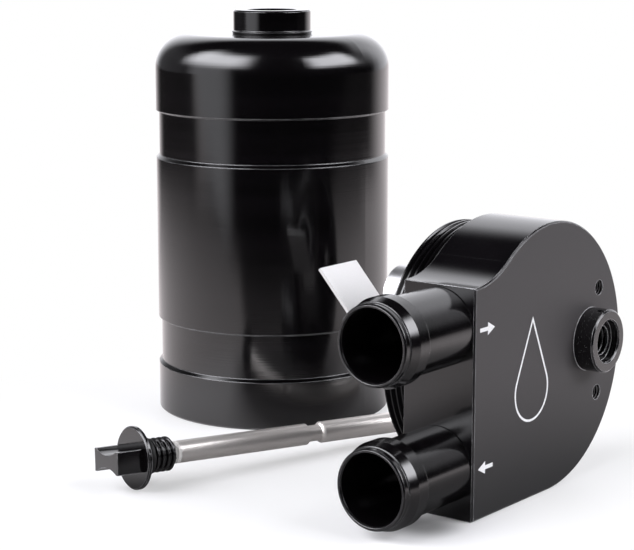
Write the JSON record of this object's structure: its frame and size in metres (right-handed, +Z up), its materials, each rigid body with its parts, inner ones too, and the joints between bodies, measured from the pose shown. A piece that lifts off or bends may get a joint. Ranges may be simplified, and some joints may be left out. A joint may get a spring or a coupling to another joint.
{
  "type": "oil catch can",
  "caption": "Engine oil catch can taken apart on a bench: turned can with drain neck, screw-in head with hose tails and inlet deflector, and a dipstick.",
  "frame": {"origin": "on the axis of the can, in the plane of its mouth, which is the surface it stands on", "axes": "+Z up along the axis of the can to its drain neck, +X out of the face of the head where the dipstick goes in, -Y out of the hose tails"},
  "size_m": [0.1711, 0.1525, 0.1311],
  "materials": {
    "black_anodised": "satin black anodised",
    "bright_aluminium": "plain blasted sheet and tube",
    "steel": "fine ground",
    "rubber": "matt black"
  },
  "bodies": {
    "root": {"can_body": "black_anodised", "drain_washer": "rubber", "drain_neck": "black_anodised", "head_block": "black_anodised", "head_seal": "rubber", "inlet_tail": "black_anodised", "outlet_tail": "black_anodised", "inlet_tail_seal": "rubber", "outlet_tail_seal": "rubber", "drop_tube": "bright_aluminium", "deflector_plate": "bright_aluminium", "deflector_screws": "steel", "dipstick_plug": "black_anodised", "dipstick_seal": "rubber", "dipstick_rod": "steel"}
  },
  "joints": []
}
